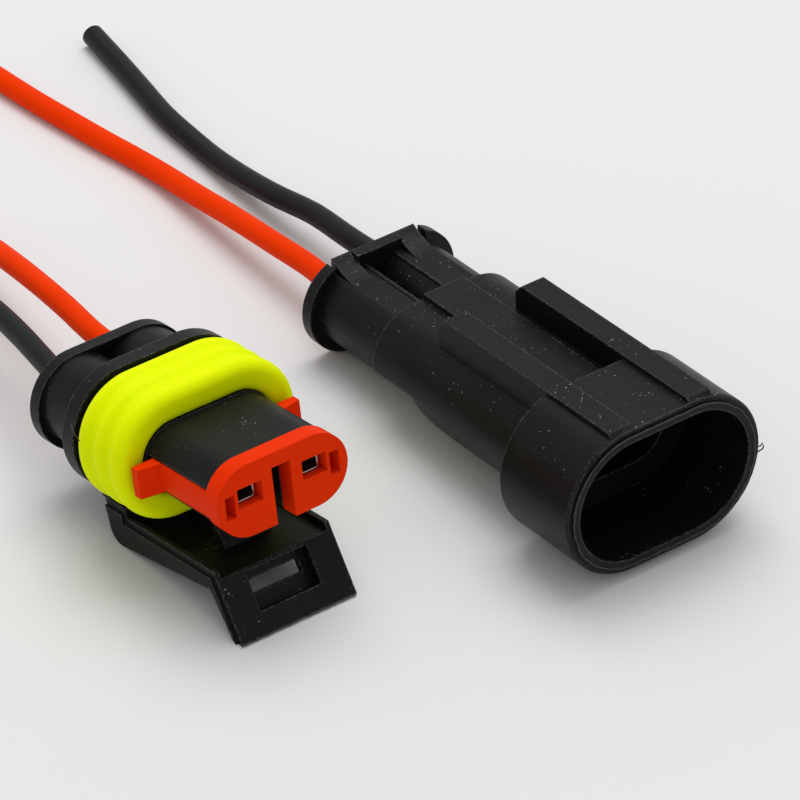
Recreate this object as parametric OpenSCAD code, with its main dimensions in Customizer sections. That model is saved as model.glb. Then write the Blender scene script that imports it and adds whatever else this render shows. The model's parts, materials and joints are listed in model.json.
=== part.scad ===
// Sealed two-way wire-to-wire connector, uncoupled: a plug half and a cap half, each crimped on
// two leads, lying side by side on a table. Each half is drawn in its own frame, with X across
// the two contacts, Y from the mating face to the rear and Z up, and is then laid on the table.

/* [Contacts] */
// Distance between the axes of the two contacts
pitch = 6.0; // [5.8:0.1:7.0]
// Width of a flat tab
tab_w = 1.5; // [1.2:0.1:1.7]
// Thickness of a flat tab
tab_t = 0.8; // [0.6:0.1:0.9]
// Height of a tab above the axis of its wire
tab_offset = 0.42; // [0.3:0.02:0.5]
// Length of tab that stands in front of the lock plate
tab_reach = 7.9; // [6:0.1:8.5]
// Width of a contact's folded box
box_w = 2.1; // [1.9:0.05:2.2]
// Height of a contact's folded box
box_h = 1.9; // [1.6:0.05:2.0]
// Thickness of the contact's sheet metal
sheet_t = 0.25; // [0.15:0.05:0.3]
// Length of the barrel crimped on the bare strands
core_crimp_len = 2.7; // [2:0.1:3]
// Length of the barrel crimped round the wire seal
seal_crimp_len = 2.0; // [1.5:0.1:2.3]

/* [Leads] */
// Outer diameter of a lead
wire_d = 1.9; // [1.6:0.05:2.1]
// Diameter of the bare strands
core_d = 1.2; // [0.8:0.05:1.3]

/* [Wire seals] */
// Outer diameter over the ribs of a wire seal
wire_seal_d = 5.0; // [4.6:0.1:5.2]
// Length of the ribbed part of a wire seal
wire_seal_len = 5.7; // [5:0.1:6.2]
// Outer diameter of a wire seal's front neck
wire_seal_neck_d = 2.7; // [2.5:0.05:2.8]
// Depth of a wire seal behind the rear rim of its housing
wire_seal_recess = 0.8; // [0.4:0.1:1.5]

/* [Plug housing] */
// Corner radius of the plug's nose
nose_r = 2.9; // [2.8:0.05:3.1]
// Distance from the mating face to the front of the interface seal
seal_front = 9.7; // [9.4:0.1:10.5]
// Thickness of the flange behind the seal
flange_t = 1.5; // [1:0.1:2]
// Corner radius of the flange behind the seal
flange_r = 5.25; // [5:0.05:5.4]
// Radius of the two rear tubes
plug_tube_r = 3.65; // [3.4:0.05:3.8]
// Length of the two rear tubes up to the rear rim
plug_tube_len = 5.1; // [4.5:0.1:6.5]
// Corner radius of the rear rim
plug_rim_r = 4.1; // [3.9:0.05:4.3]
// Thickness of the rear rim
plug_rim_t = 1.2; // [0.8:0.1:1.6]
// Drop of the rear rim below the axis
plug_rim_drop = 0.3; // [0:0.1:0.4]

/* [Interface seal] */
// Corner radius over the ribs of the interface seal
seal_r = 5.45; // [5.3:0.05:5.6]
// Depth of the valleys between the ribs
seal_valley = 0.35; // [0.1:0.05:0.5]
// Length of the interface seal
seal_len = 6.3; // [5.5:0.1:6.6]
// Number of ribs
seal_ribs = 3; // [2:1:4]
// Gap that shows between the seal and the flange
seal_gap = 0.3; // [0.2:0.05:0.6]

/* [Plug lock plate] */
// Thickness of the plate over the nose
plate_t = 1.8; // [1.4:0.1:2]
// Amount by which the plate stands proud of the nose
plate_lip = 0.15; // [0.1:0.05:0.2]
// Width of a contact opening
opening_w = 2.24; // [1.9:0.02:2.3]
// Height of a contact opening
opening_h = 1.64; // [1.3:0.02:1.7]
// Depth of the recess for a contact's box behind each opening
recess_depth = 1.0; // [0.7:0.1:1.2]
// Width of the middle slot
slot_w = 1.7; // [1.2:0.1:1.8]
// Height of the top of the middle slot
slot_top = 1.83; // [1.5:0.05:2]
// Step from the slot's top in the plate down to its top in the nose
nose_web = 0.8; // [0.5:0.1:1]
// Distance from the middle to a test slot beside a contact opening
probe_x = 4.85; // [4.7:0.05:5]
// Width of a test slot
probe_w = 0.88; // [0.6:0.02:0.9]
// Height of a test slot
probe_h = 1.92; // [1.5:0.02:2]
// Thickness of the floor of a test slot
probe_floor = 0.5; // [0.3:0.1:0.8]
// Thickness of an arm
arm_t = 0.85; // [0.6:0.05:0.9]
// Height of an arm
arm_h = 2.5; // [2:0.1:2.8]
// Distance by which an ear stands out from the arm
ear_reach = 1.55; // [1:0.05:1.7]
// Length of an ear along the arm
ear_len = 0.8; // [0.6:0.1:1]

/* [Plug latch] */
// Width of the rib on each edge of the latch
latch_rib_w = 0.6; // [0.4:0.05:0.8]
// Height of the ribs above the channel floor
latch_rib_h = 0.6; // [0.4:0.05:0.8]
// Thickness of the latch arm at its front
latch_t = 1.1; // [0.9:0.05:1.3]
// Thickness of the latch arm at its rear
latch_root_t = 2.15; // [1.8:0.05:2.4]
// Radius of the heel under the root
heel_r = 1.5; // [1.2:0.05:1.8]
// Distance from the mating face to the bend
bend_y = 2.8; // [2:0.1:4]
// Lean of the finger tab from upright
tip_lean = 27.8; // [22:0.2:34]
// Length of the finger tab along its face
tip_len = 6.05; // [5.5:0.05:6.5]
// Thickness of the finger tab at the bend
tip_root_t = 1.3; // [1:0.05:1.5]
// Thickness of the finger tab at its end
tip_end_t = 0.85; // [0.6:0.05:1]
// Width of the window in the finger tab
window_w = 5.7; // [5:0.1:6.4]
// Height of the window along the face
window_h = 3.2; // [3:0.1:3.6]
// Distance from the bend to the window
window_drop = 1.0; // [0.9:0.1:1.3]
// Depth of the frame behind the window
frame_depth = 1.7; // [1.5:0.1:1.8]
// Depth of the pocket in front of the slot through the frame
pocket_depth = 1.1; // [0.9:0.1:1.3]
// Width of the slot through the frame
frame_slot_w = 4.6; // [4:0.1:5.2]
// Height of the slot through the frame
frame_slot_h = 1.1; // [0.9:0.1:1.5]
// Distance from the top of the window to the slot
slot_drop = 0.75; // [0.6:0.05:1]
// Width of the ledge along the latch's sides
latch_ledge = 0.2; // [0.1:0.05:0.3]
// Height by which the catch bar stands above the channel floor
catch_h = 1.4; // [1.2:0.05:1.7]
// Length of the catch bar's flat top
catch_len = 0.6; // [0.4:0.1:1]

/* [Cap housing] */
// Wall round the seal chamber
collar_wall = 1.2; // [1.1:0.05:1.4]
// Wall at the mouth
mouth_wall = 0.6; // [0.5:0.05:0.9]
// Height of the step from the mouth rim to the collar
mouth_step = 0.15; // [0.1:0.05:0.25]
// Thickness of the floor of the seal chamber
chamber_floor = 0.7; // [0.6:0.1:1.2]
// Wall round the nose socket
socket_wall = 1.05; // [0.9:0.05:1.2]
// Distance from the mouth to the rear of the socket body
body_end = 28; // [26.5:0.5:29]
// Distance from the mouth to the end of the full belly
belly_end = 19; // [18.5:0.5:20]
// Distance from the mouth to the end of the belly's run-out
belly_runout = 24.3; // [23:0.1:25.5]
// Wall of the two rear tubes
tube_wall = 0.8; // [0.6:0.05:0.95]
// Length of the cap housing
cap_len = 37.5; // [37:0.5:40]
// Corner radius of the rear rim
cap_rim_r = 4.2; // [4:0.05:4.4]
// Thickness of the rear rim
cap_rim_t = 1.1; // [0.8:0.1:1.5]

/* [Cap rails] */
// Half the distance between the two rails
rail_in = 2.7; // [2.5:0.05:2.9]
// Width of a rail
rail_w = 2.2; // [1.9:0.05:2.4]
// Height of a rail above the collar
rail_h = 0.2; // [0.1:0.05:0.3]
// Distance from the mouth to the front end of the rails
rail_start = 0.3; // [0.3:0.1:1]
// Length of the rounding at the front end of the rails
rail_run = 0.5; // [0.3:0.1:1]
// Distance from the mouth to the rear end of the rails
rail_end = 22.1; // [21:0.1:24]
// Chamfer at the top of a rail's rear end
rail_chamfer = 0.8; // [0.4:0.1:1]
// Depth of the catch floor below the collar
catch_floor = 0.2; // [0.1:0.05:0.3]
// Width of the deck between the rails
deck_w = 4.0; // [3.4:0.1:4.2]
// Height of the deck above the body
deck_h = 0.45; // [0.3:0.05:0.6]
// Depth of the flats on top of the rear tubes
flat_cut = 0.2; // [0.1:0.05:0.3]
// Width of a flat where it rises to the rear rim
flare_w = 1.9; // [1.6:0.1:2.2]
// Length over which a flat rises to the rear rim
flare_len = 3.6; // [3:0.1:4.5]
// Width of the notch beside each rise in the rear rim
notch_w = 0.4; // [0.3:0.1:0.7]
// Width of the thin guide rib beside each flat
guide_w = 0.3; // [0.2:0.05:0.4]
// Gap between the guide rib and the flat
guide_gap = 0.25; // [0.15:0.05:0.35]

/* [Fits] */
// Play between the nose and its socket, all round
nose_play = 0.25; // [0.2:0.01:0.3]
// Squeeze of the interface seal in the seal chamber, all round
seal_squeeze = 0.2; // [0.1:0.05:0.3]
// Running gap round the pieces that slide or flex
run_gap = 0.1; // [0.08:0.01:0.12]
// Gap between the mouth and the flange when the halves are mated
mate_gap = 0.3; // [0.2:0.05:0.4]
// Play between the rails and the latch channel, each side
rail_play = 0.1; // [0.08:0.01:0.2]
// Play round a contact in its bore
bore_play = 0.07; // [0.05:0.01:0.1]

/* [Lay on the table] */
// Sideways distance from the cap to the plug
plug_x = -27.1; // [-34:0.1:-22]
// Distance by which the plug lies behind the cap's mouth
plug_y = 12.5; // [0:0.5:20]

/* [Hidden] */
$fn = 64;

// How far a cutting shape runs past the face it cuts
over = 0.5;
half = pitch / 2;

// Contacts and wire seals, measured back from the rear of the contact's box
neck_len = 1.0;
crimp_gap = 0.8;
strands_out = 0.65;
seal_crimp_start = neck_len + core_crimp_len + crimp_gap;
contact_rear = seal_crimp_start + seal_crimp_len;
lead_start = neck_len + core_crimp_len + strands_out;
seal_to_crimp = 1.3;
ribs_start = contact_rear + seal_to_crimp;
bore_r = bore_play + max(norm([box_w / 2, tab_offset + box_h / 2]), wire_seal_neck_d / 2 + sheet_t);
seal_bore_len = wire_seal_len + wire_seal_recess + run_gap;

// Steps and gaps of the plug
seat_swell = 0.1;
collet_step = 0.65;
ear_to_seal = 0.6;
arm_pocket_len = 3.2;
knee_back = 1;

// Plug, along Y
seal_rear = seal_front + seal_len;
flange_y = seal_rear + seal_gap;
flange_rear = flange_y + flange_t;
plug_rim_y = flange_rear + plug_tube_len;
plug_len = plug_rim_y + plug_rim_t;
plug_seal_bore = plug_len - seal_bore_len;
plug_box_rear = plug_len - wire_seal_recess - wire_seal_len - ribs_start;
plug_box_front = plate_t - recess_depth + run_gap;
seat_r = nose_r + seat_swell;
collet_r = flange_r - collet_step;
plate_r = nose_r + plate_lip;
arm_out = half + plate_r;
arm_z = -0.15;
ear_y = seal_front - ear_to_seal - ear_len;
pocket_end = plate_t + arm_pocket_len;

// Steps and gaps of the cap
ear_to_floor = 0.1;
plate_setback = 0.4;
box_setback = 0.2;
catch_overcut = 0.1;
flare_inset = 0.5;

// Cap, along Y
mated_rear = flange_y - mate_gap;
chamber_r = seal_r - seal_squeeze;
chamber_depth = mated_rear - ear_y + ear_to_floor;
collar_r = chamber_r + collar_wall;
collar_len = chamber_depth + chamber_floor;
mouth_r = chamber_r + mouth_wall;
socket_r = nose_r + nose_play;
cap_plate_t = 1.6;
cap_plate_y = mated_rear + plate_setback;
socket_depth = cap_plate_y + cap_plate_t + run_gap;
body_r = socket_r + socket_wall;
wire_seal_r = wire_seal_d / 2;
tube_r = wire_seal_r + tube_wall;
cap_seal_bore = cap_len - seal_bore_len;
cap_box_rear = cap_len - wire_seal_recess - wire_seal_len - ribs_start;
cap_box_front = socket_depth + box_setback;
cap_rim_y = cap_len - cap_rim_t;
rail_out = rail_in + rail_w;
rail_top = collar_r + rail_h;
catch_z = collar_r - catch_floor;
catch_cut_end = collar_len + catch_overcut;
deck_z = body_r + deck_h;
flat_z = tube_r - flat_cut;
flare_x = rail_in - flare_inset;
notch_x = flare_x + flare_w;
guide_x = half - sqrt(pow(tube_r, 2) - pow(flat_z, 2)) - guide_gap - guide_w;
upper_z = -0.3;

// Steps and gaps of the latch
rail_to_channel = 0.45;
flange_to_root = 0.25;
wall_reach = 1.35;
wall_inset = 0.4;
heel_inset = 0.5;
catch_play = 0.1;

// Latch, in the plug's frame
channel_half = rail_out + rail_play;
latch_half = channel_half + latch_rib_w;
channel_z = -rail_top - rail_to_channel;
rib_top_z = channel_z + latch_rib_h;
root_gap_z = -flange_r - flange_to_root;
latch_top_z = root_gap_z - 2 * run_gap;
wall_front = seal_rear - wall_reach;
wall_rear = flange_rear - wall_inset;
heel = [wall_rear - heel_inset - heel_r, channel_z - latch_root_t + heel_r];
tip_dir = [-sin(tip_lean), -cos(tip_lean)];
tip_centre = [bend_y, rib_top_z] + (tip_len - tip_end_t) * tip_dir;
catch_rear = mated_rear - catch_cut_end - catch_play;

// The plug rests on the rounded end of the finger tab and on the heel, the cap on its collar
// and its rear rim, so both lie nose up.
span = heel - tip_centre;
plug_tilt = atan2(span[1], span[0]) - asin((heel_r - tip_end_t) / norm(span));
plug_z = tip_end_t - (tip_centre[1] * cos(plug_tilt) - tip_centre[0] * sin(plug_tilt));
cap_tilt = atan((collar_r - cap_rim_r) / (cap_len - collar_len));
cap_z = collar_r * cos(cap_tilt) + collar_len * sin(cap_tilt);

// Centre of the box round both halves, leads left out
front_y = -mouth_r * sin(cap_tilt);
rear_y = cap_len * cos(cap_tilt) + cap_rim_r * sin(cap_tilt);
centre = [(plug_x - seal_r + collar_r) / 2, (front_y + rear_y) / 2, 0];

// Leads: points on the table side, from the rear rim to the cut end, measured from the foot of
// the cap's mouth
plug_red_route = [[-24.1, 42, 7.2], [-23.6, 46.5, 6.8], [-23.1, 51, 6.2], [-22.6, 55.5, 5.4],
    [-22.1, 60, 4.4], [-21.8, 64.5, 3.2], [-21.6, 69, 2], [-21.6, 73.5, 1.2],
    [-21.7, 78, 0.95], [-22, 83.3, 0.95]];
plug_black_route = [[-29.4, 41.3, 7.3], [-28.6, 45.9, 6.8], [-28, 50.4, 6.2], [-27.6, 55, 5.4],
    [-27.5, 59.6, 4.4], [-27.6, 64.2, 3.2], [-28, 68.8, 2], [-28.6, 73.3, 1.2],
    [-29.3, 77.8, 0.95], [-30.2, 83, 0.95]];
cap_red_route = [[-2.3, 42.3, 3.8], [-2.3, 48, 3.2], [-2.3, 53.9, 2.5], [-2.3, 58.5, 1.8],
    [-2.3, 63.1, 1.2], [-2.7, 67.2, 0.95], [-3.4, 70.9, 0.95], [-4.1, 75.2, 0.95],
    [-4.8, 79.8, 0.95], [-5.4, 85.3, 0.95]];
cap_black_route = [[2.7, 43.9, 3.7], [2.85, 49.4, 3.1], [2.5, 54.3, 2.3], [2.45, 58.7, 1.6],
    [2.6, 63.2, 1], [2.7, 67.2, 0.95], [2.9, 71, 0.95], [3.5, 74.8, 0.95],
    [4.2, 79.3, 0.95], [4.9, 84.4, 0.95]];

// ---- Shapes in a half's own frame -------------------------------------------------------

// An outline in X and Z, drawn out along Y
module along_y(y0, y1) {
    translate([0, y1, 0]) rotate([90, 0, 0]) linear_extrude(y1 - y0) children();
}

// An outline in Y and Z, drawn out along X
module across_x(x0, x1) {
    translate([x0, 0, 0]) rotate([90, 0, 90]) linear_extrude(x1 - x0) children();
}

// A rod or bore along Y at one contact
module rod(x, y0, y1, r) {
    translate([x, y0, 0]) rotate([-90, 0, 0]) cylinder(h = y1 - y0, r = r);
}

// A turned piece along Y at one contact: points are [radius, y]
module turned(x, points) {
    translate([x, 0, 0]) rotate([-90, 0, 0]) rotate_extrude() polygon(points);
}

module stadium(r) {
    translate([-half, 0]) circle(r);
    translate([half, 0]) circle(r);
    square([pitch, 2 * r], center = true);
}

// A stadium whose radius follows an outline of [radius, y] from front to rear
module stadium_turned(outline) {
    n = len(outline);
    for (side = [-1, 1])
        turned(side * half, concat([[0, outline[0][1]]], outline, [[0, outline[n - 1][1]]]));
    across_x(-half, half)
        polygon(concat([for (p = outline) [p[1], p[0]]],
            [for (i = [n - 1:-1:0]) [outline[i][1], -outline[i][0]]]));
}

module box(x0, x1, y0, y1, z0, z1) {
    translate([x0, y0, z0]) cube([x1 - x0, y1 - y0, z1 - z0]);
}

// The same shape on the left and on the right
module both_sides() {
    children();
    mirror([1, 0, 0]) children();
}

// ---- Placing -------------------------------------------------------------------------------

module lay_plug() {
    translate([plug_x, plug_y, plug_z] - centre) rotate([-plug_tilt, 0, 0]) children();
}

module lay_cap() {
    translate([0, 0, cap_z] - centre) rotate([-cap_tilt, 0, 0]) children();
}

function laid(p, tilt, at) = [at[0] + p[0],
    at[1] + p[1] * cos(tilt) + p[2] * sin(tilt),
    at[2] - p[1] * sin(tilt) + p[2] * cos(tilt)] - centre;
function on_plug(p) = laid(p, plug_tilt, [plug_x, plug_y, plug_z]);
function on_cap(p) = laid(p, cap_tilt, [0, 0, cap_z]);

// ---- Contacts ------------------------------------------------------------------------------

// Folded box, open at both ends
module contact_box(y0, y1) {
    top = tab_offset + box_h / 2;
    difference() {
        box(-box_w / 2, box_w / 2, y0, y1, top - box_h, top);
        box(sheet_t - box_w / 2, box_w / 2 - sheet_t, y0 - over, y1 + over,
            top - box_h + sheet_t, top - sheet_t);
    }
}

// Neck and the two crimped barrels behind a box that ends at y0
module crimps(y0) {
    core_r = core_d / 2;
    neck_r = wire_seal_neck_d / 2;
    floor_z = tab_offset - box_h / 2;
    core_y = y0 + neck_len;
    seal_y = y0 + seal_crimp_start;
    across_x(-core_r, core_r)
        polygon([[y0 - sheet_t, floor_z], [y0, -core_r - sheet_t],
            [core_y + core_crimp_len, -core_r - sheet_t], [seal_y, -neck_r - sheet_t],
            [seal_y + sheet_t, -neck_r - sheet_t], [seal_y + sheet_t, -neck_r],
            [core_y + core_crimp_len + sheet_t, -core_r], [y0 + sheet_t, -core_r],
            [y0, floor_z + sheet_t], [y0 - sheet_t, floor_z + sheet_t]]);
    barrel(core_y, core_crimp_len, core_r);
    barrel(seal_y, seal_crimp_len, neck_r);
}

// A rolled barrel with its seam at the top
module barrel(y0, length, r) {
    difference() {
        rod(0, y0, y0 + length, r + sheet_t);
        rod(0, y0 - over, y0 + length + over, r);
        box(-sheet_t / 4, sheet_t / 4, y0 - over, y0 + length + over, 0, r + 2 * sheet_t);
    }
}

// Socket contact: box with a spring tongue inside
module socket_contact() {
    roof = tab_offset + box_h / 2 - sheet_t;
    touch = tab_offset + tab_t / 2;
    middle = (plug_box_front + plug_box_rear) / 2;
    color("gainsboro") {
        contact_box(plug_box_front, plug_box_rear);
        crimps(plug_box_rear);
        across_x(-tab_w / 2, tab_w / 2)
            polygon([[plug_box_front, roof + sheet_t / 2], [plug_box_front, roof - sheet_t],
                [middle, touch], [plug_box_rear, roof - sheet_t],
                [plug_box_rear, roof + sheet_t / 2], [middle, touch + sheet_t]]);
    }
}

// Tab contact: a doubled blade in front of the same box and barrels
module tab_contact() {
    tip = cap_plate_y - tab_reach;
    bevel = tab_t / 4;
    color("gainsboro") {
        contact_box(cap_box_front, cap_box_rear);
        crimps(cap_box_rear);
        across_x(-tab_w / 2, tab_w / 2)
            polygon([[tip, tab_offset - bevel], [tip, tab_offset + bevel],
                [tip + tab_t, tab_offset + tab_t / 2],
                [cap_box_front + tab_t, tab_offset + tab_t / 2],
                [cap_box_front + tab_t, tab_offset - tab_t / 2], [tip + tab_t, tab_offset - tab_t / 2]]);
        box(-box_w / 2, box_w / 2, cap_box_front, cap_box_front + tab_t,
            tab_offset - box_h / 2, tab_offset + box_h / 2);
    }
}

// Bare strands, from the neck to the cut end of the insulation
module strands(x, box_rear) {
    color("peru") rod(x, box_rear + neck_len - strands_out, box_rear + lead_start, core_d / 2);
}

// ---- Seals ---------------------------------------------------------------------------------

// Wire seal: a thin neck under the crimp, then ribs in the housing's bore
module wire_seal(x, box_rear) {
    neck_y = box_rear + seal_crimp_start;
    y0 = box_rear + ribs_start;
    neck_r = wire_seal_neck_d / 2;
    ribs = 3;
    step = wire_seal_len / ribs;
    groove = 0.35;
    color("gold")
        turned(x, concat([[wire_d / 2, neck_y], [neck_r, neck_y], [neck_r, y0]],
            [for (i = [0:ribs - 1], q = [0, 0.2, 0.6, 0.8])
                [wire_seal_r - (q == 0 || q == 0.8 ? groove : 0), y0 + (i + q) * step]],
            [[wire_seal_r - groove, y0 + wire_seal_len], [wire_d / 2, y0 + wire_seal_len]]));
}

// Interface seal: soft ribs round the nose, with a rounded front
module interface_seal() {
    steps = 8;
    step = seal_len / seal_ribs;
    front_r = step / 2;
    color("greenyellow") lay_plug()
        difference() {
            stadium_turned(concat(
                [for (i = [0:steps - 1]) [seal_r - front_r * (1 - sin(90 * i / steps)),
                    seal_front + front_r * (1 - cos(90 * i / steps))]],
                [for (rib = [0:seal_ribs - 1], i = [0:steps - 1])
                    if (rib > 0 || i >= steps / 2)
                        [seal_r - seal_valley * (1 - cos(360 * (i / steps - 0.5))) / 2,
                            seal_front + (rib + i / steps) * step]],
                [[seal_r - seal_valley, seal_rear]]));
            along_y(seal_front - over, seal_rear + over) stadium(seat_r);
        }
}

// ---- Plug ----------------------------------------------------------------------------------

module contact_bores(y0, seal_bore, y1) {
    for (side = [-1, 1]) {
        rod(side * half, y0 - over, seal_bore + over, bore_r);
        rod(side * half, seal_bore, y1 + over, wire_seal_r);
    }
}

module middle_slot(y0, y1, top) {
    box(-slot_w / 2, slot_w / 2, y0, y1, -plate_r - over, top);
}

module plug_housing() {
    groove_in = arm_out - arm_t - run_gap;
    groove_half_h = arm_h / 2 + run_gap;
    color("dimgray") lay_plug() difference() {
        union() {
            along_y(plate_t, seal_front) stadium(nose_r);
            along_y(seal_front, flange_y) stadium(seat_r);
            along_y(seal_rear, flange_y) stadium(collet_r);
            along_y(flange_y, flange_rear) stadium(flange_r);
            for (side = [-1, 1])
                rod(side * half, flange_rear - over, plug_rim_y + over, plug_tube_r);
            translate([0, 0, -plug_rim_drop]) along_y(plug_rim_y, plug_len) stadium(plug_rim_r);
            box(-latch_half, latch_half, flange_y, wall_rear, root_gap_z, -flange_r / 2);
        }
        contact_bores(plate_t, plug_seal_bore, plug_len);
        both_sides()
            box(groove_in, arm_out + over, plate_t - over, seal_front,
                arm_z - groove_half_h, arm_z + groove_half_h);
        middle_slot(plate_t - over, pocket_end, slot_top - nose_web);
    }
}

module plug_lock_plate() {
    ear_out = arm_out + ear_reach;
    recess_w = box_w + 2 * run_gap;
    recess_h = box_h + 2 * run_gap;
    color("orangered") lay_plug() difference() {
        union() {
            along_y(0, plate_t - run_gap) stadium(plate_r);
            both_sides() {
                intersection() {
                    rod(half, plate_t / 2, ear_y + ear_len, nose_r);
                    box(arm_out - arm_t, arm_out, 0, ear_y + ear_len,
                        arm_z - arm_h / 2, arm_z + arm_h / 2);
                }
                translate([0, 0, arm_z - arm_h / 2]) linear_extrude(arm_h)
                    polygon([[arm_out - arm_t / 2, ear_y - ear_len / 2], [ear_out, ear_y],
                        [ear_out, ear_y + ear_len], [arm_out - arm_t / 2, ear_y + ear_len]]);
            }
        }
        for (side = [-1, 1]) {
            box(side * half - opening_w / 2, side * half + opening_w / 2, -over, plate_t + over,
                tab_offset - opening_h / 2, tab_offset + opening_h / 2);
            box(side * half - recess_w / 2, side * half + recess_w / 2, plate_t - recess_depth,
                plate_t + over, tab_offset - recess_h / 2, tab_offset + recess_h / 2);
            box(side * probe_x - probe_w / 2, side * probe_x + probe_w / 2, -over, plate_t - probe_floor,
                -probe_h / 2, probe_h / 2);
        }
        middle_slot(-over, plate_t + over, slot_top);
    }
}

// Outline of the latch arm from the side: root wall, heel and channel with its edge ribs
module latch_arm_outline() {
    polygon([[wall_front, latch_top_z], [wall_rear, latch_top_z], [heel[0] + heel_r, heel[1]],
        [heel[0], heel[1] - heel_r], [bend_y + 0.9, channel_z - latch_t], [bend_y, rib_top_z],
        [wall_front, rib_top_z]]);
    translate(heel) circle(heel_r);
}

// Outline of the finger tab from the side, drawn in the frame of its front face
module finger_tab_outline() {
    straight = tip_len - tip_end_t;
    translate([bend_y, rib_top_z]) rotate(-tip_lean) {
        polygon([[0, 0], [tip_root_t, 0], [tip_end_t, -straight], [0, -straight]]);
        intersection() {
            translate([0, -straight]) circle(tip_end_t);
            translate([0, -straight - tip_end_t]) square(tip_end_t);
        }
    }
}

module latch_outline() {
    latch_arm_outline();
    finger_tab_outline();
}

// Lower layer of the latch, which stands out as a ledge along its sides
module ledge_outline() {
    intersection() {
        latch_outline();
        translate([latch_rib_h / 2, -latch_rib_h]) latch_outline();
    }
}

// Places a shape in the frame of the finger tab: X across, Y into the tab, Z up along its face
module on_tab() {
    translate([0, bend_y, rib_top_z]) rotate([-tip_lean, 0, 0]) children();
}

// Frame behind the window, a little larger than the window all round
module window_frame() {
    rim = (frame_depth - pocket_depth) / 2;
    on_tab()
        box(-window_w / 2 - rim, window_w / 2 + rim, tip_root_t / 2, frame_depth,
            -window_drop - window_h - rim, rim - window_drop);
}

// The window's pocket and the lower slot that goes through the frame
module window_cut() {
    slot_z = -window_drop - slot_drop;
    on_tab() {
        box(-window_w / 2, window_w / 2, -over, pocket_depth, -window_drop - window_h, -window_drop);
        box(-frame_slot_w / 2, frame_slot_w / 2, -over, frame_depth + over,
            slot_z - frame_slot_h, slot_z);
    }
}

module catch_bar() {
    ramp = catch_h * 0.8;
    across_x(-rail_in + over, rail_in - over)
        polygon([[catch_rear, channel_z - over], [catch_rear, channel_z + catch_h],
            [catch_rear - catch_len, channel_z + catch_h],
            [catch_rear - catch_len - ramp, channel_z - over]]);
}

module plug_latch() {
    color("dimgray") lay_plug() {
        difference() {
            union() {
                across_x(latch_ledge - latch_half, latch_half - latch_ledge) latch_outline();
                across_x(-latch_half, latch_half) ledge_outline();
                window_frame();
            }
            box(-channel_half, channel_half, -tip_len, wall_front, channel_z, latch_top_z + over);
            window_cut();
        }
        catch_bar();
    }
}

// ---- Cap -----------------------------------------------------------------------------------

// A rail from the side: rounded end at the mouth, chamfered end at the rear
module rail_outline() {
    base = catch_z - over;
    steps = 4;
    polygon(concat([[rail_start, base]],
        [for (i = [0:steps]) [rail_start + rail_run * (1 - cos(90 * i / steps)),
            catch_z + (rail_top - catch_z) * sin(90 * i / steps)]],
        [[rail_end - rail_chamfer, rail_top], [rail_end, rail_top - rail_chamfer],
            [rail_end, body_r / 2], [collar_len - over, body_r / 2], [collar_len - over, base]]));
}

// The full belly under the socket, with its rounded run-out to the slimmer rear
module belly() {
    steps = 6;
    stadium_turned(concat([[body_r, collar_len - over]],
        [for (i = [0:steps]) [tube_r + (body_r - tube_r) * cos(90 * i / steps),
            belly_end + (belly_runout - belly_end) * sin(90 * i / steps)]]));
}

// A rear tube with the flat on its top
module rear_tube() {
    difference() {
        rod(half, body_end - over, cap_rim_y + over, tube_r);
        box(half - tube_r, half + tube_r, body_end, cap_len, flat_z, tube_r + over);
    }
}

// The rise of a flat to the top of the rear rim, from the side
module flare_outline() {
    steps = 6;
    polygon(concat([[cap_len, half / 2], [cap_len - flare_len, half / 2]],
        [for (i = [0:steps]) [cap_len - flare_len * (1 - i / steps),
            flat_z + (cap_rim_r - flat_z) * pow(i / steps, 2)]]));
}

module cap_outside() {
    stadium_turned([[mouth_r, 0], [mouth_r, mouth_step], [collar_r - mouth_step, mouth_step],
        [collar_r, 2 * mouth_step], [collar_r, collar_len]]);
    intersection() {
        along_y(collar_len - over, body_end) stadium(body_r);
        box(-pitch - body_r, pitch + body_r, 0, body_end, upper_z, body_r + over);
    }
    belly();
    along_y(collar_len - over, body_end) stadium(tube_r);
    box(-deck_w / 2, deck_w / 2, collar_len - over, body_end, 0, deck_z);
    both_sides() {
        across_x(rail_in, rail_out) rail_outline();
        rear_tube();
        across_x(flare_x, notch_x) flare_outline();
        box(guide_x, guide_x + guide_w, body_end - over, cap_rim_y + over, half / 2, flat_z);
    }
    difference() {
        along_y(cap_rim_y, cap_len) stadium(cap_rim_r);
        both_sides()
            box(flare_x, notch_x + notch_w, cap_rim_y - over, cap_len + over, flat_z, cap_rim_r + over);
    }
}

module cap_housing() {
    color("dimgray") lay_cap() difference() {
        cap_outside();
        box(-rail_in, rail_in, -over, catch_cut_end, catch_z, rail_top + over);
        along_y(-over, chamber_depth) stadium(chamber_r);
        along_y(chamber_depth - over, socket_depth) stadium(socket_r);
        contact_bores(socket_depth, cap_seal_bore, cap_len);
    }
}

module cap_lock_plate() {
    color("black") lay_cap() difference() {
        along_y(cap_plate_y, cap_plate_y + cap_plate_t) stadium(socket_r - run_gap);
        for (side = [-1, 1])
            box(side * half - tab_w / 2 - run_gap, side * half + tab_w / 2 + run_gap,
                cap_plate_y - over, cap_plate_y + cap_plate_t + over,
                -tab_offset - tab_t / 2 - run_gap, -tab_offset + tab_t / 2 + run_gap);
    }
}

// ---- Leads ---------------------------------------------------------------------------------

function unit(v) = v / norm(v);
function ahead(route, i) = unit(route[min(i + 1, len(route) - 1)] - route[max(i - 1, 0)]);
function ring(p, along) = let (side = unit(cross(along, [0, 0, 1])), up = cross(side, along))
    [for (k = [0:7]) p + wire_d / 2 * (side * cos(45 * k + 22.5) + up * sin(45 * k + 22.5))];

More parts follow.
